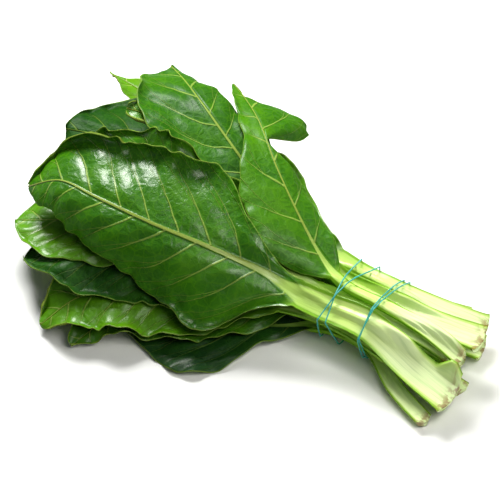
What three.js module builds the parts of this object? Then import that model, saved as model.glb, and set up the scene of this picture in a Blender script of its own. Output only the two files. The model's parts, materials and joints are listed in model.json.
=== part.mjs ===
// A bunch of chard lying on its side: twelve leaves, each one piece with its stalk, and the two thin
// elastic bands that are wound twice round the stalks.
// Millimetres. +Z is up, +X runs along the bunch to the cut ends of the stalks and +Y is across it.
// Each leaf is drawn where it would lie by itself, and is then laid on the leaves under it.
import * as THREE from "three";

// ---- driving sizes ----
const bladeThickness = 1.1;
const stalkClearance = 0.6; // clear height between a stalk and what it lies on
const bladeClearance = 1.4; // the same for a blade, which never lies quite flat
const pressedHeight = 2.2;
const bandThickness = 1.6;
const bandClearance = 0.7; // from the stalks to the band wound round them
const strandGap = 0.25; // between the two turns of a band where they cross
const bandSides = 5;
const bandSteps = 80; // points along one turn of a band
const tangentLines = 180; // lines drawn round the stalks to find where a taut band lies
const stalkRings = 6; // rings of points along a stalk
const bladeRings = 13; // and along a blade
const ribColumns = 1; // columns of points from the middle of the rib to its edge
const bladeColumns = 4; // and from there to the margin
const settlePasses = 8;
const ease = 0.95; // how much of a lift is handed on in each pass
const benchCell = 1; // grid on which the heights of what already lies there are kept
const benchFrom = { x: -280, y: -240 };
const benchCells = { x: 560, y: 440 };

// ---- the leaves, from the one on the bench to the one on top ----
// rib      points along the middle of the leaf, from the cut end of the stalk to the tip
// stalk    width and thickness at the cut end, and where the blade begins
// blade    the share of the rib's length at which the blade begins
// tip      the share of the blade over which its end is rounded
// left, right   half widths of the blade, evenly spaced from its beginning to its tip; left is the -Y side
// roll     turn of the leaf about its rib in degrees, evenly spaced along it, right side up
// bend     turn of each half from rib to margin in degrees, up if positive
// hem      further turn of the outer part of each half
// waves    height and number of the waves along the margins, and where they begin
const leaves = [
  {
    name: "ground_leaf",
    rib: [[231, -64, 9], [190, -47, 10], [150, -22, 13], [106, -21, 13], [70, -42, 10], [30, -64, 6], [-20, -84, 3],
      [-58, -100, 2]],
    stalk: [[15, 8], [15, 9]], blade: 0.46, tip: 0.25,
    left: [2, 8, 16, 32, 52, 56, 46, 34, 26], right: [2, 16, 34, 46, 52, 52, 44, 36, 24],
    roll: [0, 0, 0, 0, 0, 0], bend: [[0, 0, 0], [0, 0, 0]], hem: [[-6, -6, -6], [10, 10, 10]],
    waves: [3, 3.5, 0.2],
  },
  {
    name: "low_front_leaf",
    rib: [[240, -17, 8], [196, -10, 10], [150, -4, 13], [106, -4, 13], [50, -38, 13], [0, -64, 14], [-36, -94, 16],
      [-60, -122, 12], [-72, -152, 4]],
    stalk: [[18, 8], [15, 9]], blade: 0.45, tip: 0.3,
    left: [2, 14, 26, 32, 34, 30, 22, 15, 10], right: [2, 14, 28, 38, 42, 42, 38, 30, 22],
    roll: [0, 0, 4, 8, 10, 0], bend: [[10, 0, 20], [10, 10, 20]], hem: [[20, 20, 30], [20, 50, 70]],
    waves: [5, 4, 0.1],
  },
  {
    name: "low_back_leaf",
    rib: [[234, 31, 9], [195, 22, 11], [150, 14, 13], [106, 14, 13], [50, 42, 19], [-10, 66, 24], [-80, 84, 32],
      [-140, 102, 34], [-202, 114, 28]],
    stalk: [[28, 9], [17, 9]], blade: 0.42, tip: 0.5,
    left: [2, 18, 34, 44, 46, 38, 30, 26, 18], right: [2, 18, 36, 46, 46, 36, 28, 24, 18],
    roll: [0, 0, 0, -4, -10, -12], bend: [[10, 10, 20], [-20, -20, -10]], hem: [[0, 0, 10], [0, 0, 10]],
    waves: [4, 3, 0.4],
  },
  {
    name: "corner_leaf",
    rib: [[237, -39, 10], [196, -31, 18], [150, -25, 23], [106, -25, 23], [50, -40, 23], [0, -60, 22], [-48, -86, 27],
      [-86, -116, 24], [-106, -150, 8]],
    stalk: [[22, 9], [16, 9]], blade: 0.44, tip: 0.25,
    left: [2, 16, 30, 40, 44, 42, 38, 32, 22], right: [2, 16, 30, 40, 44, 42, 38, 32, 22],
    roll: [0, 0, 6, 12, 10, 0], bend: [[0, 0, 0], [0, 0, 10]], hem: [[10, 20, 30], [10, 40, 60]],
    waves: [5, 4, 0.6],
  },
  {
    name: "left_leaf",
    rib: [[228, 5, 11], [194, -1, 18], [150, -7, 23], [106, -7, 23], [50, -18, 29], [-10, -42, 32], [-70, -66, 36],
      [-118, -88, 30], [-150, -108, 22]],
    stalk: [[20, 9], [15, 9]], blade: 0.44, tip: 0.25,
    left: [2, 16, 32, 42, 46, 46, 44, 36, 26], right: [2, 16, 32, 42, 46, 46, 44, 38, 26],
    roll: [0, 0, 10, 16, 16, 4], bend: [[-10, -20, -20], [0, -10, -30]], hem: [[0, 10, 20], [0, 10, 10]],
    waves: [4, 3, 0.1],
  },
  {
    name: "far_left_leaf",
    rib: [[224, 14, 20], [196, 12, 23], [150, 9, 24], [106, 9, 24], [50, 2, 36], [-10, -18, 42], [-70, -38, 48],
      [-130, -60, 42], [-178, -78, 32]],
    stalk: [[18, 8], [14, 9]], blade: 0.42, tip: 0.25,
    left: [2, 18, 34, 44, 50, 50, 48, 44, 36], right: [2, 18, 34, 46, 52, 52, 50, 46, 38],
    roll: [0, 0, 8, 14, 14, 4], bend: [[-20, -30, -20], [0, -10, -20]], hem: [[0, 0, 10], [0, 0, 10]],
    waves: [4, 3, 0.5],
  },
  {
    name: "back_leaf",
    rib: [[206, 58, 8], [180, 46, 15], [150, 26, 24], [106, 26, 24], [50, 34, 40], [-10, 42, 47], [-70, 44, 52],
      [-130, 38, 52], [-192, 24, 46]],
    stalk: [[16, 7], [14, 8]], blade: 0.36, tip: 0.2,
    left: [2, 18, 36, 46, 50, 50, 46, 38, 28], right: [2, 20, 42, 58, 64, 66, 62, 54, 44],
    roll: [0, -10, 0, 0, 0, 4], bend: [[-10, -10, -10], [-10, -30, -40]], hem: [[0, 0, 20], [0, 0, 20]],
    waves: [5, 3.5, 0.3],
  },
  {
    name: "curled_leaf",
    rib: [[229, 45, 20], [195, 36, 28], [150, 28, 34], [106, 28, 34], [50, 30, 50], [-10, 36, 62], [-60, 44, 76],
      [-100, 46, 90], [-134, 36, 96]],
    stalk: [[26, 9], [18, 9]], blade: 0.38, tip: 0.3,
    left: [2, 14, 28, 36, 36, 30, 28, 28, 24], right: [2, 16, 34, 46, 46, 38, 30, 28, 24],
    roll: [0, -10, 0, 0, 0, 0], bend: [[0, 0, 20], [0, 0, 20]], hem: [[0, 20, 60], [0, 20, 70]],
    waves: [4, 3, 0.7],
  },
  {
    name: "top_leaf",
    rib: [[238, 20, 31], [195, 12, 33], [150, 6, 34], [106, 6, 34], [50, 20, 57], [8, 34, 76], [-36, 52, 90],
      [-80, 74, 94], [-114, 96, 88], [-140, 116, 72]],
    stalk: [[30, 10], [20, 9]], blade: 0.36, tip: 0.25,
    left: [2, 18, 36, 46, 52, 54, 52, 46, 32], right: [2, 14, 24, 30, 32, 31, 27, 22, 18],
    roll: [0, 0, 0, 4, 0, -10], bend: [[0, 0, 0], [-20, -30, -50]], hem: [[0, 0, 10], [0, 0, 0]],
    waves: [5, 3.5, 0.2],
  },
  {
    name: "under_front_leaf",
    rib: [[222, -7, 21], [194, -9, 28], [150, -13, 34], [110, -13, 35], [62, -18, 50], [14, -22, 64], [-36, -22, 74],
      [-88, -20, 78], [-136, -16, 76], [-168, -14, 68]],
    stalk: [[18, 8], [14, 9]], blade: 0.36, tip: 0.22,
    left: [2, 20, 40, 54, 60, 58, 50, 40, 28], right: [2, 24, 38, 44, 44, 40, 38, 34, 28],
    roll: [0, 0, 4, 6, 6, 2], bend: [[-20, -50, -30], [10, 0, 0]], hem: [[0, 0, 0], [0, 20, 40]],
    waves: [4, 4, 0.4],
  },
  {
    name: "right_leaf",
    rib: [[236, -10, 30], [200, -6, 37], [158, -4, 43], [112, -2, 44], [88, 6, 56], [52, 24, 76], [10, 52, 92],
      [-30, 88, 92], [-60, 112, 82], [-82, 128, 72]],
    stalk: [[18, 8], [12, 8]], blade: 0.36, tip: 0.5,
    left: [2, 28, 44, 44, 32, 20, 18, 16, 12], right: [2, 10, 14, 18, 22, 24, 24, 20, 16, 8, 4, 50, 64, 60, 4, 5, 5],
    roll: [0, 0, 0, -14, -14, -10], bend: [[-10, -10, -20], [0, -40, -40]], hem: [[0, 0, 10], [0, 0, 0]],
    waves: [3, 3, 0.5],
  },
  {
    name: "front_leaf",
    rib: [[243, -40, 19], [200, -36, 27], [153, -30, 36], [118, -30, 38], [87, -34, 47], [51, -36, 60], [-2, -48, 78],
      [-52, -58, 88], [-104, -60, 90], [-144, -56, 84], [-176, -60, 60]],
    stalk: [[38, 11], [24, 11]], blade: 0.36, tip: 0.2,
    left: [2, 34, 72, 63, 54, 50, 41, 34, 28], right: [2, 8, 30, 68, 70, 64, 60, 54, 40],
    roll: [6, 36, 22, 22, 22, 16], bend: [[-40, -70, -50], [0, -20, -20]], hem: [[0, 0, 0], [20, 60, 70]],
    waves: [4, 3.5, 0.1],
  },
];

// ---- small tools ----
const degrees = Math.PI / 180;

// A smooth value at a share from 0 to 1 through evenly spaced values.
function along(values, share) {
  const last = values.length - 1;
  const place = THREE.MathUtils.clamp(share, 0, 1) * last;
  const i = Math.min(Math.floor(place), last - 1);
  const t = place - i;
  const at = (k) => values[THREE.MathUtils.clamp(k, 0, last)];
  const slopeIn = (at(i + 1) - at(i - 1)) / 2;
  const slopeOut = (at(i + 2) - at(i)) / 2;
  const rise = at(i + 1) - at(i);
  return at(i) + t * (slopeIn + t * (3 * rise - 2 * slopeIn - slopeOut + t * (slopeIn + slopeOut - 2 * rise)));
}

// ---- one leaf as rings of points, upper and lower side ----
function shapeLeaf(leaf) {
  const curve = new THREE.CatmullRomCurve3(leaf.rib.map((p) => new THREE.Vector3(...p)));
  const rings = [];
  const ringCount = stalkRings + bladeRings;
  for (let i = 0; i <= ringCount; i++) {
    const inBlade = Math.max(0, (i - stalkRings) / bladeRings);
    const share = i < stalkRings ? (leaf.blade * i) / stalkRings : leaf.blade + (1 - leaf.blade) * inBlade;
    rings.push(shapeRing(leaf, curve, share, inBlade, i <= stalkRings));
  }
  return rings;
}

function shapeRing(leaf, curve, share, inBlade, isStalk) {
  const middle = curve.getPointAt(share);
  const ahead = curve.getTangentAt(share);
  const side = new THREE.Vector3().crossVectors(ahead, new THREE.Vector3(0, 0, 1)).normalize();
  const up = new THREE.Vector3().crossVectors(side, ahead);
  const roll = -along(leaf.roll, share) * degrees;
  side.applyAxisAngle(ahead, roll);
  up.applyAxisAngle(ahead, roll);

  // The stalk runs on as the rib of the blade and tapers to its tip.
  const [[endWidth, endThick], [baseWidth, baseThick]] = leaf.stalk;
  const down = Math.min(1, share / leaf.blade);
  const taper = 1 - 0.86 * Math.sqrt(inBlade);
  const ribHalf = (THREE.MathUtils.lerp(endWidth, baseWidth, Math.sqrt(down)) / 2) * taper;
  const ribThick = THREE.MathUtils.lerp(endThick, baseThick, down) * (1 - 0.8 * Math.sqrt(inBlade));

  const toTip = Math.max(0, 1 - (1 - inBlade) / leaf.tip);
  const rounded = Math.sqrt(1 - toTip ** 2);
  const sides = [[-1, leaf.left, leaf.bend[0], leaf.hem[0]], [1, leaf.right, leaf.bend[1], leaf.hem[1]]];
  const columns = new Map([[0, place(0, 0, 0)]]);
  for (const [hand, widths, bends, hems] of sides) {
    const blade = isStalk ? 0 : Math.max(1, along(widths, inBlade) * rounded);
    const bend = along(bends, inBlade) * degrees;
    const hem = along(hems, inBlade) * degrees;
    const reach = ribHalf + blade;
    let x = 0;
    let z = 0;
    let from = 0;
    for (let k = 1; k <= ribColumns + bladeColumns; k++) {
      const out = distanceOut(k, ribHalf, blade);
      const mid = (from + out) / 2 / reach;
      const turn = isStalk ? 0 : bend * mid + hem * Math.max(0, (mid - 0.7) / 0.3);
      x += (out - from) * Math.cos(turn);
      z += (out - from) * Math.sin(turn);
      from = out;
      const wave = isStalk ? 0 : leaf.waves[0] * (out / reach) ** 2 *
        Math.sin(2 * Math.PI * (leaf.waves[1] * inBlade + leaf.waves[2] + (hand > 0 ? 0.35 : 0)));
      columns.set(hand * k, place(hand * x, z + wave, out, hand * turn));
    }
  }

  function place(x, z, out, turn = 0) {
    const upper = middle.clone().addScaledVector(side, x).addScaledVector(up, z);
    const normal = up.clone().multiplyScalar(Math.cos(turn)).addScaledVector(side, -Math.sin(turn));
    const inRib = Math.max(0, 1 - (out / ribHalf) ** 2);
    const thick = (isStalk ? 0 : bladeThickness) + (ribThick - (isStalk ? 0 : bladeThickness)) * inRib;
    return { upper, lower: upper.clone().addScaledVector(normal, -thick), out };
  }

  const order = [...columns.keys()].sort((a, b) => a - b);
  return { isStalk, points: order.map((k) => ({ column: k, ...columns.get(k) })) };
}

// How far from the rib's middle column k stands.
function distanceOut(k, ribHalf, blade) {
  if (blade === 0) return (ribHalf * k) / (ribColumns + bladeColumns);
  if (k <= ribColumns) return (ribHalf * k) / ribColumns;
  return ribHalf + (blade * (k - ribColumns)) / bladeColumns;
}

// ---- the bench: how high the leaves already lie at each spot ----
const bench = new Float32Array(benchCells.x * benchCells.y);

function cellAt(x, y) {
  return [Math.round((x - benchFrom.x) / benchCell), Math.round((y - benchFrom.y) / benchCell)];
}

function heightAt(x, y) {
  const [i, j] = cellAt(x, y);
  return bench[j * benchCells.x + i];
}

// Calls visit at points spread over the patch between four corners.
function spread(corners, steps, visit) {
  for (let a = 0; a <= steps; a++) {
    for (let b = 0; b <= steps; b++) {
      const u = a / steps;
      const v = b / steps;
      const weights = [(1 - u) * (1 - v), u * (1 - v), u * v, (1 - u) * v];
      const point = new THREE.Vector3();
      corners.forEach((corner, n) => point.addScaledVector(corner, weights[n]));
      visit(point, weights);
    }
  }
}

function eachPatch(rings, visit) {
  for (let i = 0; i + 1 < rings.length; i++) {
    for (let k = 0; k + 1 < rings[i].points.length; k++) {
      const cornersAt = [[i, k], [i + 1, k], [i + 1, k + 1], [i, k + 1]];
      for (const side of ["upper", "lower"]) visit(cornersAt, cornersAt.map(([a, b]) => rings[a].points[b][side]));
    }
  }
}

// Lifts a leaf clear of the bench and of every leaf that lies there, and smooths the lift over the leaf.
function layDown(rings) {
  let lift = rings.map((ring) => ring.points.map(() => 0));
  const spots = contactSpots(rings);
  for (let pass = 0; pass <= settlePasses; pass++) {
    for (const { corners, weights, short } of spots) {
      const missing = short - corners.reduce((sum, [i, k], n) => sum + weights[n] * lift[i][k], 0);
      if (missing <= 0) continue;
      const share = missing / weights.reduce((sum, weight) => sum + weight * weight, 0);
      corners.forEach(([i, k], n) => {
        lift[i][k] += weights[n] * share;
      });
    }
    rings.forEach((ring, i) => stiffen(ring, lift[i]));
    if (pass < settlePasses) lift = smoothed(lift);
  }
  rings.forEach((ring, i) => ring.points.forEach((point, k) => {
    point.upper.z += lift[i][k];
    point.lower.z += lift[i][k];
  }));
  eachPatch(rings, (cornersAt, corners) => spread(corners, 20, (p) => {
    const [a, b] = cellAt(p.x, p.y);
    const cell = b * benchCells.x + a;
    bench[cell] = Math.max(bench[cell], p.z);
  }));
}

// The spots of a leaf that would lie too low, by how much, and the share each corner of the patch has in them.
function contactSpots(rings) {
  const spots = [];
  eachPatch(rings, (cornersAt, corners) => {
    const clearance = rings[cornersAt[2][0]].isStalk ? stalkClearance : bladeClearance;
    spread(corners, 8, (p, weights) => {
      const under = heightAt(p.x, p.y);
      spots.push({ corners: cornersAt, weights, short: (under > 0 ? under + clearance : 0) - p.z });
    });
  });
  return spots;
}

function smoothed(lift) {
  return lift.map((row, i) => row.map((own, k) => {
    const before = lift[Math.max(0, i - 1)][k];
    const after = lift[Math.min(lift.length - 1, i + 1)][k];
    const left = row[Math.max(0, k - 1)];
    const right = row[Math.min(row.length - 1, k + 1)];
    return ease * (0.4 * own + 0.15 * (before + after + left + right));
  }));
}

// What comes this close to the bench is pressed flat on it.
function pressFlat(rings) {
  for (const point of rings.flatMap((ring) => ring.points)) {
    if (point.lower.z < pressedHeight) point.lower.z = 0;
  }
}

// A stalk, and the rib in a blade, rises as one across its width.
function stiffen(ring, lifts) {
  const stiff = ring.points.map((point) => ring.isStalk || Math.abs(point.column) <= ribColumns);
  const most = Math.max(...lifts.filter((lift, k) => stiff[k]));
  stiff.forEach((isStiff, k) => {
    if (isStiff) lifts[k] = most;
  });
}

// ---- closed skins ----
// A closed body from rings of points; each ring runs once round, and fans close the two ends.
function skin(loops, closed = false) {
  const around = loops[0].length;
  const positions = loops.flat().flatMap((p) => [p.x, p.y, p.z]);
  const faces = [];
  const corner = (i, k) => (i % loops.length) * around + (k % around);
  for (let i = 0; i < loops.length - (closed ? 0 : 1); i++) {
    for (let k = 0; k < around; k++) {
      faces.push(corner(i, k), corner(i, k + 1), corner(i + 1, k));
      faces.push(corner(i + 1, k), corner(i, k + 1), corner(i + 1, k + 1));
    }
  }
  if (!closed) {
    // Strips between the upper and the lower side close the flat ends.
    const last = loops.length - 1;
    for (let k = 0; k < around / 2; k++) {
      const across = (around - k) % around;
      const next = around - k - 1;
      if (k > 0) faces.push(corner(0, k), corner(0, across), corner(0, k + 1));
      if (next > k + 1) faces.push(corner(0, across), corner(0, next), corner(0, k + 1));
      if (k > 0) faces.push(corner(last, k), corner(last, k + 1), corner(last, across));
      if (next > k + 1) faces.push(corner(last, across), corner(last, k + 1), corner(last, next));
    }
  }
  const geometry = new THREE.BufferGeometry();
  geometry.setAttribute("position", new THREE.Float32BufferAttribute(positions, 3));
  geometry.setIndex(faces);
  geometry.computeVertexNormals();
  return geometry;
}

// The upper side from margin to margin and the lower side back; the two meet at the margins.
function loopOf(ring) {
  const points = ring.points;
  return [...points.map((p) => p.upper), ...points.slice(1, -1).reverse().map((p) => p.lower)];
}

// ---- the bands ----
// The outline of all the stalks where a plane across the bunch cuts them, as corners of a convex loop.
function bundleOutline(x, allRings) {
  const cut = [];
  for (const rings of allRings) {
    for (let i = 0; i + 1 < rings.length; i++) {
      const here = loopOf(rings[i]);
      const next = loopOf(rings[i + 1]);
      here.forEach((p, k) => {
        const q = next[k];
        if ((p.x - x) * (q.x - x) > 0 || p.x === q.x) return;
        const t = (x - p.x) / (q.x - p.x);
        cut.push(new THREE.Vector2(p.y + t * (q.y - p.y), p.z + t * (q.z - p.z)));
      });
    }
  }
  return cut;
}

// How far the bundle reaches from its middle in a direction across it.
function reachOf(outline, middle, angle) {
  const way = new THREE.Vector2(Math.cos(angle), Math.sin(angle));
  return Math.max(...outline.map((p) => p.clone().sub(middle).dot(way)));
}

// A taut loop touches the bundle only at its corners: each of its points is where two tangent lines meet.
function tautLoop(outline, clear) {
  const middle = new THREE.Box2().setFromPoints(outline).getCenter(new THREE.Vector2());
  const step = (2 * Math.PI) / tangentLines;
  const reach = Array.from({ length: tangentLines }, (_, i) => reachOf(outline, middle, i * step) + clear);
  const corners = reach.map((here, i) => {
    const next = reach[(i + 1) % tangentLines];
    const slide = (next - here * Math.cos(step)) / Math.sin(step);
    const angle = i * step;
    return new THREE.Vector2(
      middle.x + here * Math.cos(angle) - slide * Math.sin(angle),
      middle.y + here * Math.sin(angle) + slide * Math.cos(angle));
  });
  return { middle, points: new THREE.Path([...corners, corners[0]]).getSpacedPoints(bandSteps) };
}

function makeBand(band, allRings) {
  const outline = [-1, -0.5, 0, 0.5, 1].flatMap((side) => bundleOutline(band.x + side * band.spread, allRings));
  const half = bandThickness / 2;
  const loop = tautLoop(outline, half + bandClearance);
  const path = Array.from({ length: 2 * bandSteps }, (_, i) => {
    const turn = Math.PI * (i / bandSteps + band.crossing);
    const p = loop.points[i % bandSteps];
    const away = p.clone().sub(loop.middle).normalize().multiplyScalar((half + strandGap) * (1 - Math.cos(turn)));
    return new THREE.Vector3(band.x + band.spread * Math.sin(turn), p.x + away.x, p.y + away.y);
  });
  const loops = path.map((point, i) => {
    const ahead = path[(i + 1) % path.length].clone().sub(path[(i + path.length - 1) % path.length]).normalize();
    const out = new THREE.Vector3(0, point.y - loop.middle.x, point.z - loop.middle.y).normalize();
    const across = new THREE.Vector3().crossVectors(ahead, out).normalize();
    const outward = new THREE.Vector3().crossVectors(across, ahead);
    return Array.from({ length: bandSides }, (_, k) => {
      const angle = (-2 * Math.PI * k) / bandSides;
      return point.clone().addScaledVector(across, half * Math.cos(angle))
        .addScaledVector(outward, half * Math.sin(angle));
    });
  });
  return skin(loops, true);
}

const bands = [
  { name: "upper_band", x: 114, spread: 11, crossing: 0.65 },
  { name: "lower_band", x: 150, spread: 3, crossing: 0.6 },
];

// ---- finishes ----
const leafGreen = new THREE.MeshStandardMaterial({ color: 0x2f7a1c, roughness: 0.45, metalness: 0 });
const elastic = new THREE.MeshStandardMaterial({ color: 0x2aa79b, roughness: 0.5, metalness: 0 });

// ---- the bunch ----
const bunch = new THREE.Group();

function addPiece(name, geometry, material) {
  const piece = new THREE.Mesh(geometry, material);
  piece.name = name;
  bunch.add(piece);
}

const allRings = leaves.map((leaf) => {
  const rings = shapeLeaf(leaf);
  layDown(rings);
  pressFlat(rings);
  addPiece(leaf.name, skin(rings.map(loopOf)), leafGreen);
  return rings;
});
for (const band of bands) addPiece(band.name, makeBand(band, allRings), elastic);

// The origin is on the bench, under the middle of the bunch.
const box = new THREE.Box3().setFromObject(bunch);
bunch.position.set(-(box.min.x + box.max.x) / 2, -(box.min.y + box.max.y) / 2, -box.min.z);

export default bunch;
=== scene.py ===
import bpy
import json
import math
import numpy as np
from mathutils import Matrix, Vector
from mathutils.bvhtree import BVHTree

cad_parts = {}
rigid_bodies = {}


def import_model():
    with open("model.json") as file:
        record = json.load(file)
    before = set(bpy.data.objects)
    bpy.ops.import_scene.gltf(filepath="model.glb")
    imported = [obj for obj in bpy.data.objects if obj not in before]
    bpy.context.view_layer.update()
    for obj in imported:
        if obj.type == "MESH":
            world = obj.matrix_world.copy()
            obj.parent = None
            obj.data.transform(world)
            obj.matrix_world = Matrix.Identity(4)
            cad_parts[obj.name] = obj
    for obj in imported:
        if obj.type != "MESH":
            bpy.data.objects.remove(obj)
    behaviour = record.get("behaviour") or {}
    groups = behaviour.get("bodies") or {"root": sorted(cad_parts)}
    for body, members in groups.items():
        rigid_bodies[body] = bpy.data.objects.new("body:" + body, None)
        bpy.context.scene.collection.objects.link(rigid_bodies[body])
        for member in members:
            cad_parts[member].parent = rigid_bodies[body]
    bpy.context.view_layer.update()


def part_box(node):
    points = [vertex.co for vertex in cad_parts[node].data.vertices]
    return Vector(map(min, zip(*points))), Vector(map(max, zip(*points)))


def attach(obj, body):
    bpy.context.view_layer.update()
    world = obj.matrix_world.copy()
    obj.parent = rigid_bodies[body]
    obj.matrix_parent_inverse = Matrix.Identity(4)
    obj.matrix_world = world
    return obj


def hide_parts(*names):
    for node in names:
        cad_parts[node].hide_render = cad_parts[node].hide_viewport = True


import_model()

perMetre = 1000   # leaf and band sizes are in millimetres here and become metres when a mesh is made

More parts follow.
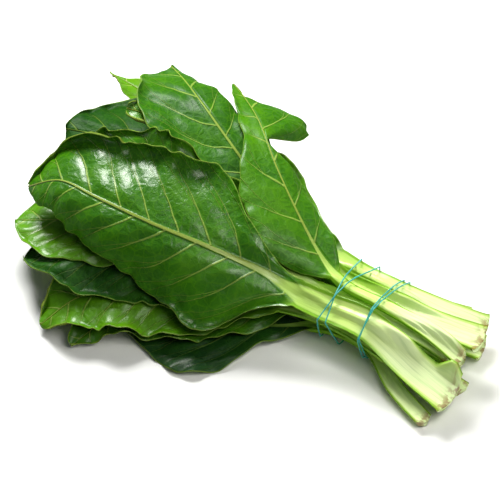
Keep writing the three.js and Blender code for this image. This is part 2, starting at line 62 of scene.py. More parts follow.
# name: the frame's node that the leaf takes the place of
# stalk: width and thickness at the cut end, then at the blade
# blade: share of the rib where the blade begins; tip: share of the blade over which its end is rounded
# rib: middle of the leaf from the cut end to the tip; roll: turn about the rib, in degrees
# left, right: half widths of the blade, evenly spaced from its beginning to its tip
# bend, hem, curl: turn of each half, of its outer third and of its margin, left then right, in degrees
# waves: height, number and start of the margin's long waves
# tint: 0 deep green to 1 yellow green; dark: painted shade, how far a leaf lying in shade under the others is
# darkened; gloss: how much it shines
# veins: distance between the side veins; pucker, fold: height of the small and the broad swellings
# ruffle: height of the margin's short waves; channel: depth of the stalk's groove
leaves = [
    {"name": "ground_leaf", "stalk": [[15, 8], [15, 9]], "blade": 0.46, "tip": 0.25,
     "roll": [0, 0, 0, 0, 0, 0],
     "rib": [[231, -64, 9], [190, -47, 10], [150, -22, 13], [106, -21, 13], [70, -42, 10], [30, -64, 6],
             [-20, -84, 3], [-58, -100, 2]],
     "left": [2, 8, 16, 32, 52, 56, 46, 34, 26], "right": [2, 16, 34, 46, 52, 52, 44, 36, 24],
     "bend": [[0, 0, 0], [0, 0, 0]], "hem": [[-6, -6, -6], [10, 10, 10]], "waves": [3, 3.5, 0.2],
     "curl": [[0, 0, 0], [0, 0, 0]],
     "tint": 0.05, "dark": 1.0, "veins": 24, "pucker": 1.6, "fold": 1.2, "ruffle": 1.2, "gloss": 0.3,
     "channel": 1.0},
    {"name": "low_front_leaf", "stalk": [[18, 8], [15, 9]], "blade": 0.45, "tip": 0.3,
     "roll": [0, 0, 4, 8, 10, 0],
     "rib": [[240, -17, 8], [196, -10, 10], [150, -4, 13], [106, -4, 13], [50, -38, 13], [0, -64, 14],
             [-36, -94, 16], [-60, -122, 12], [-72, -152, 4]],
     "left": [2, 14, 26, 32, 34, 30, 22, 15, 10], "right": [2, 14, 28, 38, 42, 42, 38, 30, 22],
     "bend": [[10, 0, 20], [10, 10, 20]], "hem": [[20, 20, 30], [20, 50, 70]], "waves": [5, 4, 0.1],
     "curl": [[0, 0, 20], [0, 70, 90]],
     "tint": 0.5, "dark": 0.3, "veins": 22, "pucker": 1.6, "fold": 1.6, "ruffle": 1.6, "gloss": 0.6,
     "channel": 1.0},
    {"name": "low_back_leaf", "stalk": [[28, 9], [17, 9]], "blade": 0.42, "tip": 0.5,
     "roll": [0, 0, 0, -4, -10, -12],
     "rib": [[234, 31, 9], [195, 22, 11], [150, 14, 13], [106, 14, 13], [50, 42, 19], [-10, 66, 24],
             [-80, 84, 32], [-140, 102, 34], [-202, 114, 28]],
     "left": [2, 18, 34, 44, 46, 38, 30, 26, 18], "right": [2, 18, 36, 46, 46, 36, 28, 24, 18],
     "bend": [[10, 10, 20], [-20, -20, -10]], "hem": [[0, 0, 10], [0, 0, 10]], "waves": [4, 3, 0.4],
     "curl": [[0, 0, 30], [0, 0, 0]],
     "tint": 0.95, "dark": 0.2, "veins": 24, "pucker": 1.2, "fold": 1.4, "ruffle": 1.2, "gloss": 0.4,
     "channel": 1.0},
    {"name": "corner_leaf", "stalk": [[22, 9], [16, 9]], "blade": 0.44, "tip": 0.25,
     "roll": [0, 0, 6, 12, 10, 0],
     "rib": [[237, -39, 10], [196, -31, 18], [150, -25, 23], [106, -25, 23], [50, -40, 23], [0, -60, 22],
             [-48, -86, 27], [-86, -116, 24], [-106, -150, 8]],
     "left": [2, 16, 30, 40, 44, 42, 38, 32, 22], "right": [2, 16, 30, 40, 44, 42, 38, 32, 22],
     "bend": [[0, 0, 0], [0, 0, 10]], "hem": [[10, 20, 30], [10, 40, 60]], "waves": [5, 4, 0.6],
     "curl": [[0, 20, 50], [20, 110, 130]],
     "tint": 0.75, "dark": 0.15, "veins": 24, "pucker": 1.8, "fold": 2.0, "ruffle": 1.6, "gloss": 0.6,
     "channel": 1.0},
    {"name": "left_leaf", "stalk": [[20, 9], [15, 9]], "blade": 0.44, "tip": 0.25,
     "roll": [0, 0, 10, 16, 16, 4],
     "rib": [[228, 5, 11], [194, -1, 18], [150, -7, 23], [106, -7, 23], [50, -18, 29], [-10, -42, 32],
             [-70, -66, 36], [-118, -88, 30], [-150, -108, 22]],
     "left": [2, 16, 32, 42, 46, 46, 44, 36, 26], "right": [2, 16, 32, 42, 46, 46, 44, 38, 26],
     "bend": [[-10, -20, -20], [0, -10, -30]], "hem": [[0, 10, 20], [0, 10, 10]], "waves": [4, 3, 0.1],
     "curl": [[0, 50, 60], [0, 20, 70]],
     "tint": 0.25, "dark": 0.9, "veins": 24, "pucker": 2.0, "fold": 2.2, "ruffle": 1.6, "gloss": 0.15,
     "channel": 1.0},
    {"name": "far_left_leaf", "stalk": [[18, 8], [14, 9]], "blade": 0.42, "tip": 0.25,
     "roll": [0, 0, 8, 14, 14, 4],
     "rib": [[224, 14, 20], [196, 12, 23], [150, 9, 24], [106, 9, 24], [50, 2, 36], [-10, -18, 42],
             [-70, -38, 48], [-130, -60, 42], [-178, -78, 32]],
     "left": [2, 18, 34, 44, 50, 50, 48, 44, 36], "right": [2, 18, 34, 46, 52, 52, 50, 46, 38],
     "bend": [[-20, -30, -20], [0, -10, -20]], "hem": [[0, 0, 10], [0, 0, 10]], "waves": [4, 3, 0.5],
     "curl": [[0, 10, 60], [0, 20, 60]],
     "tint": 0.75, "dark": 0.1, "veins": 24, "pucker": 1.8, "fold": 2.4, "ruffle": 1.6, "gloss": 0.7,
     "channel": 1.0},
    {"name": "back_leaf", "stalk": [[16, 7], [14, 8]], "blade": 0.36, "tip": 0.2,
     "roll": [0, -10, 0, 0, 0, 4],
     "rib": [[206, 58, 8], [180, 46, 15], [150, 26, 24], [106, 26, 24], [50, 34, 40], [-10, 42, 47],
             [-70, 44, 52], [-130, 38, 52], [-192, 24, 46]],
     "left": [2, 18, 36, 46, 50, 50, 46, 38, 28], "right": [2, 20, 42, 58, 64, 66, 62, 54, 44],
     "bend": [[-10, -10, -10], [-10, -30, -40]], "hem": [[0, 0, 20], [0, 0, 20]], "waves": [5, 3.5, 0.3],
     "curl": [[0, 0, 20], [0, 50, 60]],
     "tint": 0.15, "dark": 0.8, "veins": 30, "pucker": 1.6, "fold": 3.4, "ruffle": 2.2, "gloss": 0.05,
     "channel": 1.0},
    {"name": "curled_leaf", "stalk": [[26, 9], [18, 9]], "blade": 0.38, "tip": 0.3,
     "roll": [0, -10, 0, 0, 0, 0],
     "rib": [[229, 45, 20], [195, 36, 28], [150, 28, 34], [106, 28, 34], [50, 30, 50], [-10, 36, 62],
             [-60, 44, 76], [-100, 46, 90], [-134, 36, 96]],
     "left": [2, 14, 28, 36, 36, 30, 28, 28, 24], "right": [2, 16, 34, 46, 46, 38, 30, 28, 24],
     "bend": [[0, 0, 20], [0, 0, 20]], "hem": [[0, 20, 60], [0, 20, 70]], "waves": [4, 3, 0.7],
     "curl": [[0, 60, 110], [0, 60, 120]],
     "tint": 0.55, "dark": 0.0, "veins": 24, "pucker": 1.2, "fold": 1.4, "ruffle": 1.2, "gloss": 0.7,
     "channel": 1.2},
    {"name": "top_leaf", "stalk": [[30, 10], [20, 9]], "blade": 0.36, "tip": 0.25,
     "roll": [0, 0, 0, 4, 0, -10],
     "rib": [[238, 20, 31], [195, 12, 33], [150, 6, 34], [106, 6, 34], [50, 20, 57], [8, 34, 76],
             [-36, 52, 90], [-80, 74, 94], [-114, 96, 88], [-140, 116, 72]],
     "left": [2, 18, 36, 46, 52, 54, 52, 46, 32], "right": [2, 14, 24, 30, 32, 31, 27, 22, 18],
     "bend": [[0, 0, 0], [-20, -30, -50]], "hem": [[0, 0, 10], [0, 0, 0]], "waves": [5, 3.5, 0.2],
     "curl": [[0, 0, 40], [0, 0, -60]],
     "tint": 0.3, "dark": 0.35, "veins": 32, "pucker": 1.6, "fold": 3.0, "ruffle": 2.0, "gloss": 0.25,
     "channel": 1.6},
    {"name": "under_front_leaf", "stalk": [[18, 8], [14, 9]], "blade": 0.36, "tip": 0.22,
     "roll": [0, 0, 4, 6, 6, 2],
     "rib": [[222, -7, 21], [194, -9, 28], [150, -13, 34], [110, -13, 35], [62, -18, 50], [14, -22, 64],
             [-36, -22, 74], [-88, -20, 78], [-136, -16, 76], [-168, -14, 68]],
     "left": [2, 20, 40, 54, 60, 58, 50, 40, 28], "right": [2, 24, 38, 44, 44, 40, 38, 34, 28],
     "bend": [[-20, -50, -30], [10, 0, 0]], "hem": [[0, 0, 0], [0, 20, 40]], "waves": [4, 4, 0.4],
     "curl": [[0, 0, 0], [0, 60, 80]],
     "tint": 0.4, "dark": 0.2, "veins": 32, "pucker": 2.4, "fold": 2.4, "ruffle": 2.4, "gloss": 0.8,
     "channel": 1.0},
    {"name": "right_leaf", "stalk": [[18, 8], [12, 8]], "blade": 0.36, "tip": 0.5,
     "roll": [0, 0, 0, -14, -14, -10],
     "rib": [[236, -10, 30], [200, -6, 37], [158, -4, 43], [112, -2, 44], [88, 6, 56], [52, 24, 76],
             [10, 52, 92], [-30, 88, 92], [-60, 112, 82], [-82, 128, 72]],
     "left": [2, 28, 44, 44, 32, 20, 18, 16, 12],
     "right": [2, 10, 14, 18, 22, 24, 24, 20, 16, 8, 4, 50, 64, 60, 4, 5, 5],
     "bend": [[-10, -10, -20], [0, -40, -40]], "hem": [[0, 0, 10], [0, 0, 0]], "waves": [3, 3, 0.5],
     "curl": [[0, -30, -40], [-50, -40, 0]],
     "tint": 0.45, "dark": 0.1, "veins": 38, "pucker": 1.3, "fold": 1.6, "ruffle": 1.0, "gloss": 0.35,
     "channel": 1.0},
    {"name": "front_leaf", "stalk": [[38, 11], [24, 11]], "blade": 0.36, "tip": 0.2,
     "roll": [6, 36, 22, 22, 22, 16],
     "rib": [[243, -40, 19], [200, -36, 27], [153, -30, 36], [118, -30, 38], [87, -34, 47], [51, -36, 60],
             [-2, -48, 78], [-52, -58, 88], [-104, -60, 90], [-144, -56, 84], [-176, -60, 60]],
     "left": [2, 34, 72, 63, 54, 50, 41, 34, 28], "right": [2, 8, 30, 68, 70, 64, 60, 54, 40],
     "bend": [[-40, -70, -50], [0, -20, -20]], "hem": [[0, 0, 0], [20, 60, 70]], "waves": [4, 3.5, 0.1],
     "curl": [[60, 90, 30, 0, -30], [0, 10, 60, 160]],
     "tint": 0.35, "dark": 0.1, "veins": 29, "pucker": 1.9, "fold": 2.2, "ruffle": 1.6, "gloss": 1.0,
     "channel": 2.6},
]
skinThickness = 0.8
acrossHalf = 34   # columns from the rib's middle to the margin
alongStep = 2.1   # distance between rings, in millimetres
benchCell = 2.0   # grid on which the heights of the leaves already laid are kept
benchFrom = np.array([-300.0, -240.0])
bench = np.zeros((300, 240))
resting = {"gap": 0.25, "ease": 3}   # clear height over what lies below, and rings a lift eases over
probing = {"rows": 44, "columns": 15, "inner": 0.8, "level": 0.35}   # where a node's height is looked up
cutEnd = {"rings": 6, "bow": 3.0, "wobble": 3.0, "slant": 2, "depth": 1.5}   # the knife's cut
# veinLean, veinCurve: how side veins lean towards the tip; the others are distances in millimetres
relief = {
    "veinLean": 0.9, "veinCurve": 0.004, "fold": 38, "swell": 12, "grain": 5.5,
    "ruffle": 4.6, "ruffleDrift": 30, "lobe": 24, "nick": 8,
}


def deselectAll():
    if bpy.context.object and bpy.context.object.mode != "OBJECT":
        bpy.ops.object.mode_set(mode="OBJECT")
    bpy.ops.object.select_all(action="DESELECT")


def alongValues(values, share):   # a smooth value at each share through evenly spaced ones
    values = np.asarray(values, float)
    last = len(values) - 1
    place = np.clip(share, 0, 1) * last
    i = np.minimum(place.astype(int), last - 1)
    t = place - i
    before, here, there, after = (values[np.clip(i + k, 0, last)] for k in (-1, 0, 1, 2))
    slopeIn, slopeOut, rise = (there - before) / 2, (after - here) / 2, there - here
    bow = 3 * rise - 2 * slopeIn - slopeOut
    return here + t * (slopeIn + t * (bow + t * (slopeIn + slopeOut - 2 * rise)))


def smoothStep(low, high, x):
    t = np.clip((x - low) / (high - low), 0, 1)
    return t * t * (3 - 2 * t)


def softNoise(x, y, seed):   # smooth values from -1 to 1 that change over a distance of about 1
    table = np.random.default_rng(seed).uniform(-1, 1, (64, 64))
    i, j = np.floor(x).astype(int), np.floor(y).astype(int)
    u, v = x - i, y - j
    u, v = u * u * (3 - 2 * u), v * v * (3 - 2 * v)
    at = lambda a, b: table[a % 64, b % 64]
    return ((at(i, j) * (1 - u) + at(i + 1, j) * u) * (1 - v)
            + (at(i, j + 1) * (1 - u) + at(i + 1, j + 1) * u) * v)


def normalize(v):
    return v / np.maximum(np.linalg.norm(v, axis=-1, keepdims=True), 1e-9)


def spreadMost(field, reach):   # the highest value near each place, eased over the same distance
    for axis in (0, 1):
        pad = [(reach, reach) if a == axis else (0, 0) for a in (0, 1)]
        wide = np.pad(field, pad, mode="edge")
        size = field.shape[axis]
        parts = [np.take(wide, range(k, k + size), axis) for k in range(2 * reach + 1)]
        field = np.max(parts, axis=0)
    for axis in (0, 1):
        pad = [(reach, reach) if a == axis else (0, 0) for a in (0, 1)]
        wide = np.pad(field, pad, mode="edge")
        size = field.shape[axis]
        field = np.mean([np.take(wide, range(k, k + size), axis) for k in range(2 * reach + 1)], axis=0)
    return field


def ribLine(points):   # a close row of points on a smooth curve through the rib's points
    p = np.array(points, float)
    p = np.vstack([2 * p[0] - p[1], p, 2 * p[-1] - p[-2]])
    t = np.linspace(0, 1, 40, endpoint=False)[:, None]
    line = []
    for i in range(1, len(p) - 2):
        a, b, c, d = p[i - 1:i + 3]
        gapA, gapB, gapC = (np.linalg.norm(q) ** 0.5 for q in (b - a, c - b, d - c))
        slopeIn = ((b - a) / gapA - (c - a) / (gapA + gapB) + (c - b) / gapB) * gapB
        slopeOut = ((c - b) / gapB - (d - b) / (gapB + gapC) + (d - c) / gapC) * gapB
        line.append(b + t * (slopeIn + t * (3 * (c - b) - 2 * slopeIn - slopeOut
                                            + t * (slopeIn + slopeOut - 2 * (c - b)))))
    line.append(p[-2][None])
    return np.vstack(line)


def ribPlaces(leaf, share):
    line = ribLine(leaf["rib"])
    steps = np.linalg.norm(np.diff(line, axis=0), axis=1)
    length = np.concatenate([[0], np.cumsum(steps)])
    total = length[-1]
    at = lambda s: np.stack([np.interp(s * total, length, line[:, k]) for k in range(3)], axis=-1)
    ahead = normalize(at(np.clip(share + 0.004, 0, 1)) - at(np.clip(share - 0.004, 0, 1)))
    side = normalize(np.cross(ahead, [0, 0, 1]))
    up = np.cross(side, ahead)
    roll = -np.radians(alongValues(leaf["roll"], share))[:, None]
    turnedSide = side * np.cos(roll) + np.cross(ahead, side) * np.sin(roll)
    turnedUp = up * np.cos(roll) + np.cross(ahead, up) * np.sin(roll)
    return at(share), ahead, turnedSide, turnedUp, total


def shapeLeaf(leaf, detail):
    total = ribPlaces(leaf, np.array([0.0]))[4]
    rings = int(total / alongStep)
    share = np.linspace(0, 1, rings)
    share = np.concatenate([share, [1 - 0.25 / rings]])
    share.sort()
    middle, ahead, side, up, total = ribPlaces(leaf, share)
    inBlade = np.clip((share - leaf["blade"]) / (1 - leaf["blade"]), 0, 1)
    down = np.minimum(1, share / leaf["blade"])
    endSize, baseSize = np.array(leaf["stalk"], float)
    stalkSize = endSize + (baseSize - endSize) * np.sqrt(down)[:, None]
    taper = 1 - 0.86 * np.sqrt(inBlade)
    if detail:
        taper = 0.05 + 0.2 * (1 - inBlade) + 0.75 * np.exp(-inBlade / 0.07)
    ribHalf = stalkSize[:, 0] / 2 * taper
    ribThick = (endSize[1] + (baseSize[1] - endSize[1]) * down) * (1 - 0.8 * np.sqrt(inBlade))
    toTip = np.maximum(0, 1 - (1 - inBlade) / leaf["tip"])
    rounded = np.sqrt(np.maximum(0, 1 - toTip ** 2))
    seed = sum(map(ord, leaf["name"]))
    run = share * total   # millimetres from the cut end

    halves = []
    sides = ((-1, leaf["left"], leaf["bend"][0], leaf["hem"][0], leaf["curl"][0]),
             (1, leaf["right"], leaf["bend"][1], leaf["hem"][1], leaf["curl"][1]))
    for hand, widths, bends, hems, curls in sides:
        blade = np.where(inBlade > 0, np.maximum(0.6, alongValues(widths, inBlade) * rounded), 0.0)
        if detail:
            lobes = 0.06 * softNoise(run / relief["lobe"], run * 0 + hand, seed + 5)
            lobes = lobes + 0.022 * softNoise(run / relief["nick"], run * 0, seed + 6)
            blade = blade * (1 + lobes)
            blade *= smoothStep(0, 0.03, inBlade)
        reach = ribHalf + blade
        k = np.arange(acrossHalf + 1) / acrossHalf
        ribPart = 0.2
        onBlade = np.where(k <= ribPart, ribHalf[:, None] * k / ribPart,
                           ribHalf[:, None] + blade[:, None] * (k - ribPart) / (1 - ribPart))
        mix = smoothStep(0, 0.08, inBlade)[:, None]
        out = reach[:, None] * k * (1 - mix) + onBlade * mix
        part = out / reach[:, None]
        mid = (part[:, 1:] + part[:, :-1]) / 2
        bend = np.radians(alongValues(bends, inBlade))[:, None]
        hem = np.radians(alongValues(hems, inBlade))[:, None]
        curl = np.radians(alongValues(curls, inBlade) * (1 if detail else 0))[:, None]
        turn = bend * mid + hem * np.maximum(0, (mid - 0.7) / 0.3) + curl * np.maximum(0, (mid - 0.8) / 0.2)
        turn = turn * smoothStep(0, 0.05, inBlade)[:, None]
        step = np.diff(out, axis=1)
        zero = np.zeros((len(share), 1))
        x = np.hstack([zero, np.cumsum(step * np.cos(turn), axis=1)])
        z = np.hstack([zero, np.cumsum(step * np.sin(turn), axis=1)])
        turnAt = np.hstack([zero, turn])
        waves = leaf["waves"]
        wave = waves[0] * part ** 2 * np.sin(
            2 * np.pi * (waves[1] * inBlade[:, None] + waves[2] + (0.35 if hand > 0 else 0)))
        z = z + wave * smoothStep(0, 0.05, inBlade)[:, None]
        normal = up[:, None] * np.cos(turnAt)[..., None] - hand * side[:, None] * np.sin(turnAt)[..., None]
        upper = middle[:, None] + side[:, None] * hand * x[..., None] + up[:, None] * z[..., None]
        u = out / ribHalf[:, None]
        halves.append({"hand": hand, "out": out, "part": part, "u": u, "upper": upper, "normal": normal,
                       "reach": reach})
    return {"halves": halves, "inBlade": inBlade, "down": down, "run": run, "ahead": ahead,
            "ribThick": ribThick, "ribHalf": ribHalf, "seed": seed}


def addDetail(leaf, shape):   # puckers, ruffles, the stalk's channel, and the under side
    inBlade = shape["inBlade"][:, None]
    run = shape["run"][:, None]
    seed = shape["seed"]
    isBlade = smoothStep(0, 0.08, inBlade)
    for half in shape["halves"]:
        out, part, u, hand = half["out"], half["part"], half["u"], half["hand"]
        beyond = np.maximum(0, out - shape["ribHalf"][:, None])
        leaning = relief["veinLean"] * beyond
        start = 0.45 if hand > 0 else 0   # the two halves' side veins don't meet
        phase = (run - leaning - relief["veinCurve"] * beyond ** 2) / leaf["veins"] + start
        wander = 0.22 * softNoise(run / 55, hand * out / 55, seed)
        phase += wander + 0.16 * softNoise(run / 40, run * 0 + hand, seed + 7)
        half["vein"] = phase
        between = 1 - (2 * np.abs(phase - np.floor(phase) - 0.5)) ** 2   # 0 on a side vein, 1 half-way
        away = smoothStep(1, 12, beyond) * (1 - 0.5 * part ** 6)
        bulge = leaf["pucker"] * away * (between - 0.45)
        swell = softNoise(run / relief["swell"], hand * out / relief["swell"], seed + 1)
        grain = softNoise(run / relief["grain"], hand * out / relief["grain"], seed + 2)
        fold = softNoise(run / relief["fold"], hand * out / relief["fold"], seed + 3)
        bulge += 0.26 * leaf["pucker"] * away * swell * (0.4 + between)
        bulge += 0.06 * leaf["pucker"] * away * grain
        bulge += leaf["fold"] * away * fold
        drift = 4 * softNoise(run / relief["ruffleDrift"], run * 0 + hand, seed + 4)
        ruffle = leaf["ruffle"] * part ** 5 * np.sin(run / relief["ruffle"] + drift)
        gutter = -0.9 * np.exp(-((u - 1.15) / 0.3) ** 2) * smoothStep(0, 0.1, inBlade)
        channel = -leaf["channel"] * (1 - u ** 2) * (1 - smoothStep(0.0, 0.35, inBlade)) * (u < 1)
        rise = isBlade * (bulge + ruffle) + gutter + channel
        half["upper"] = half["upper"] + half["normal"] * rise[..., None]
        thickStalk = shape["ribThick"][:, None] * np.maximum(0, 1 - part ** 3.4) ** 0.6
        thickBlade = skinThickness + (shape["ribThick"][:, None] - skinThickness) * np.maximum(0, 1 - u ** 2)
        thick = thickStalk * (1 - isBlade) + thickBlade * isBlade
        thick = thick + channel * (thick > 3)
        half["lower"] = half["upper"] - half["normal"] * thick[..., None]


def joinHalves(shape, key):   # one array across the whole leaf, from the -Y margin to the +Y margin
    left, right = shape["halves"]
    return np.concatenate([left[key][:, ::-1], right[key][:, 1:]], axis=1)


def cadLift(leaf, plain):   # how far the frame's node lies above the leaf's own drawing, over the whole leaf
    mesh = bpy.data.objects[leaf["name"]].data
    points = np.empty(len(mesh.vertices) * 3, np.float32)
    mesh.vertices.foreach_get("co", points)
    corners = [Vector(p) for p in points.reshape(-1, 3)]
    tree = BVHTree.FromPolygons(corners, [list(face.vertices) for face in mesh.polygons])
    low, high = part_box(leaf["name"])
    upper = joinHalves(plain, "upper")
    part = joinHalves(plain, "part")
    nodeMiddle = (np.array(low)[:2] + np.array(high)[:2]) * perMetre / 2
    shift = nodeMiddle - (upper.min((0, 1))[:2] + upper.max((0, 1))[:2]) / 2
    rows = np.unique(np.linspace(1, upper.shape[0] - 3, probing["rows"]).astype(int))
    columns = np.unique(np.linspace(1, upper.shape[1] - 2, probing["columns"]).astype(int))
    lift = np.full((len(rows), len(columns)), np.nan)
    for a, i in enumerate(rows):
        for b, k in enumerate(columns):
            x, y, z = upper[i, k]
            if part[i, k] > probing["inner"]:
                continue
            spot = Vector(((x + shift[0]) / perMetre, (y + shift[1]) / perMetre, 1))
            hit, normal, _, _ = tree.ray_cast(spot, Vector((0, 0, -1)))
            if hit is not None and normal.z > probing["level"]:
                lift[a, b] = hit.z * perMetre - z
    for a in range(len(rows)):   # gaps take their neighbours' value
        known = np.isfinite(lift[a])
        if known.any():
            lift[a] = np.interp(np.arange(len(columns)), np.flatnonzero(known), lift[a][known])
    good = np.isfinite(lift[:, 0])
    for b in range(len(columns)):
        lift[:, b] = np.interp(np.arange(len(rows)), np.flatnonzero(good), lift[good, b])
    for _ in range(2):
        wide = np.pad(lift, 1, mode="edge")
        lift = (wide[:-2, 1:-1] + wide[2:, 1:-1] + wide[1:-1, :-2] + wide[1:-1, 2:] + 2 * lift) / 6
    rings, width = upper.shape[:2]
    across = np.array([np.interp(np.arange(width), columns, row) for row in lift])
    full = np.array([np.interp(np.arange(rings), rows, across[:, k]) for k in range(width)]).T
    return full, shift


# Lifts a leaf's fine shape clear of what already lies there, and adds it to the bench.
def settle(upper, lower):
    wide = np.pad(bench, 1)
    deep, broad = bench.shape
    near = np.max([wide[a:a + deep, b:b + broad] for a in (0, 1, 2) for b in (0, 1, 2)], axis=0)
    missing = np.zeros(upper.shape[:2])
    for skin in (upper, lower):
        cell = np.round((skin[..., :2] - benchFrom) / benchCell).astype(int)
        under = near[cell[..., 0], cell[..., 1]]
        missing = np.maximum(missing, np.where(under > 0, under + resting["gap"], 0) - skin[..., 2])
    lift = spreadMost(np.maximum(missing, 0), resting["ease"])
    upper[..., 2] += lift
    lower[..., 2] += lift
    for skin in (upper, lower):
        cell = np.round((skin[..., :2] - benchFrom) / benchCell).astype(int)
        np.maximum.at(bench, (cell[..., 0], cell[..., 1]), skin[..., 2])
    return float(lift.max())


def shapeCutEnd(shape, upper, lower):   # the knife's slightly rounded and uneven cut
    across = np.linspace(-1, 1, upper.shape[1])
    rng = np.random.default_rng(shape["seed"] + 9)
    width = upper.shape[1] // 3
    wobble = np.convolve(rng.uniform(-1, 1, upper.shape[1] + width - 1), np.ones(width) / width, mode="valid")
    slant = rng.uniform(-cutEnd["slant"], cutEnd["slant"])
    for ring in range(cutEnd["rings"]):
        share = (1 - ring / cutEnd["rings"]) ** 2
        push = share * (cutEnd["bow"] * across ** 2 + cutEnd["wobble"] * wobble + slant * across)
        shift = shape["ahead"][ring] * push[:, None]
        upper[ring] += shift
        lower[ring] += shift + shape["ahead"][ring] * share * cutEnd["depth"]


def makeLeaf(leaf, materials):
    plain = shapeLeaf(leaf, False)
    lift, shift = cadLift(leaf, plain)
    shape = shapeLeaf(leaf, True)
    addDetail(leaf, shape)
    upper, lower = joinHalves(shape, "upper"), joinHalves(shape, "lower")
    shapeCutEnd(shape, upper, lower)
    for skin in (upper, lower):
        skin[..., 0] += shift[0]
        skin[..., 1] += shift[1]
        skin[..., 2] += lift
    most = settle(upper, lower)
    rings, columns = upper.shape[:2]

    deselectAll()
    bpy.ops.mesh.primitive_grid_add(x_subdivisions=2 * columns, y_subdivisions=rings - 1, size=1)
    piece = bpy.context.object
    piece.name = leaf["name"] + "_grown"
    loops = np.concatenate([upper, lower[:, ::-1], upper[:, :1]], axis=1)
    piece.data.vertices.foreach_set("co", (loops / perMetre).astype(np.float32).ravel())

    hands = np.sign(np.linspace(-1, 1, columns))[None]
    widths = columns // 2, columns - columns // 2
    reach = np.concatenate([np.repeat(half["reach"][:, None], width, 1)
                            for half, width in zip(shape["halves"], widths)], 1)
    marks = {
        "along": np.repeat(shape["run"][:, None], columns, 1) / perMetre,
        "across": joinHalves(shape, "out") * hands / perMetre,
        "fromRib": joinHalves(shape, "u"),
        "part": joinHalves(shape, "part"),
        "vein": joinHalves(shape, "vein"),
        "margin": (1 - joinHalves(shape, "part")) * reach / perMetre,
        "inBlade": np.repeat(shape["inBlade"][:, None], columns, 1),
        "down": np.repeat(shape["down"][:, None], columns, 1),
        "gloss": leaf["gloss"] * smoothStep(0.5, 0.85, joinHalves(shape, "normal")[..., 2]),
    }
    for name, values in marks.items():
        both = np.concatenate([values, values[:, ::-1], values[:, :1]], axis=1)
        layer = piece.data.attributes.new(name, "FLOAT", "POINT")
        layer.data.foreach_set("value", both.astype(np.float32).ravel())
    topSide, underSide = np.zeros((rings, columns)), np.ones((rings, columns))
    under = np.concatenate([topSide, underSide, topSide[:, :1]], axis=1)
    # dark carries a leaf's painted shade, for leaves lying in shade under the others, into its colour
    flat = {"under": under, "tint": under * 0 + leaf["tint"], "dark": under * 0 + leaf["dark"],
            "spacing": under * 0 + leaf["veins"] / perMetre, "grain": under * 0 + shape["seed"] % 97}
    for name, values in flat.items():
        layer = piece.data.attributes.new(name, "FLOAT", "POINT")
        layer.data.foreach_set("value", values.astype(np.float32).ravel())

    bpy.ops.object.mode_set(mode="EDIT")
    bpy.ops.mesh.select_all(action="SELECT")
    bpy.ops.mesh.remove_doubles(threshold=0.00002)
    bpy.ops.mesh.select_all(action="DESELECT")
    bpy.ops.mesh.select_non_manifold(extend=False)
    bpy.ops.mesh.fill_holes(sides=0)
    bpy.ops.mesh.select_all(action="SELECT")
    bpy.ops.mesh.normals_make_consistent(inside=False)
    bpy.ops.mesh.select_all(action="DESELECT")
    bpy.ops.object.mode_set(mode="OBJECT")
    for material in materials:
        piece.data.materials.append(material)
    ends = [face for face in piece.data.polygons if len(face.vertices) > 8]
    for face in ends:
        face.material_index = 1
    bpy.ops.object.shade_smooth()
    for face in ends:
        face.use_smooth = False
    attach(piece, "root")
    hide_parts(leaf["name"])
    print(leaf["name"], "faces", len(piece.data.polygons), "lifted at most", round(most, 2), "mm")
    return upper, lower


def newMaterial(name):
    material = bpy.data.materials.new(name)
    material.use_nodes = True
    tree = material.node_tree
    tree.nodes.clear()
    return material, tree


class Nodes:   # short ways to add and join nodes
    def __init__(self, tree):
        self.tree = tree

    def add(self, kind, **settings):
        node = self.tree.nodes.new("ShaderNode" + kind)
        for name, value in settings.items():
            setattr(node, name, value)
        return node

    def put(self, socket, value):
        if isinstance(value, bpy.types.NodeSocket):
            self.tree.links.new(value, socket)
        else:
            socket.default_value = value

    def mark(self, name):
        return self.add("Attribute", attribute_name=name).outputs["Fac"]

    def math(self, operation, a, b=0.0, c=None):
        node = self.add("Math", operation=operation)
        self.put(node.inputs[0], a)
        self.put(node.inputs[1], b)
        if c is not None:
            self.put(node.inputs[2], c)
        return node.outputs[0]

    def ramp(self, value, low, high, outLow=0.0, outHigh=1.0):
        node = self.add("MapRange", interpolation_type="SMOOTHSTEP")
        names = "Value", "From Min", "From Max", "To Min", "To Max"
        for name, v in zip(names, (value, low, high, outLow, outHigh)):
            self.put(node.inputs[name], v)
        return node.outputs[0]

    def blend(self, share, a, b, mode="MIX"):
        node = self.add("Mix", data_type="RGBA", blend_type=mode)
        self.put(node.inputs[0], share)
        self.put(node.inputs[6], a)
        self.put(node.inputs[7], b)
        return node.outputs[2]

    def place(self, x, y, z=0.0):
        node = self.add("CombineXYZ")
        for socket, v in zip(node.inputs, (x, y, z)):
            self.put(socket, v)
        return node.outputs[0]

    def noise(self, where, scale, detail=3.0, rough=0.55):
        node = self.add("TexNoise")
        self.put(node.inputs["Vector"], where)
        self.put(node.inputs["Scale"], scale)
        self.put(node.inputs["Detail"], detail)
        self.put(node.inputs["Roughness"], rough)
        return node.outputs["Fac"]

    def effect(self, tree, output, **values):   # one of the shared node groups
        node = self.add("Group", node_tree=tree)
        for name, value in values.items():
            self.put(node.inputs[name], value)
        return node.outputs[output]

    def cells(self, where, scale, feature="DISTANCE_TO_EDGE"):
        node = self.add("TexVoronoi", feature=feature)
        self.put(node.inputs["Vector"], where)
        self.put(node.inputs["Scale"], scale)
        return node.outputs["Distance"]


def newGroup(name, inputs, output, outputKind):
    tree = bpy.data.node_groups.new(name, "ShaderNodeTree")
    for label, kind in inputs:
        tree.interface.new_socket(label, in_out="INPUT", socket_type="NodeSocket" + kind)
    tree.interface.new_socket(output, in_out="OUTPUT", socket_type="NodeSocket" + outputKind)
    given, result = tree.nodes.new("NodeGroupInput"), tree.nodes.new("NodeGroupOutput")
    return tree, Nodes(tree), given.outputs, result.inputs


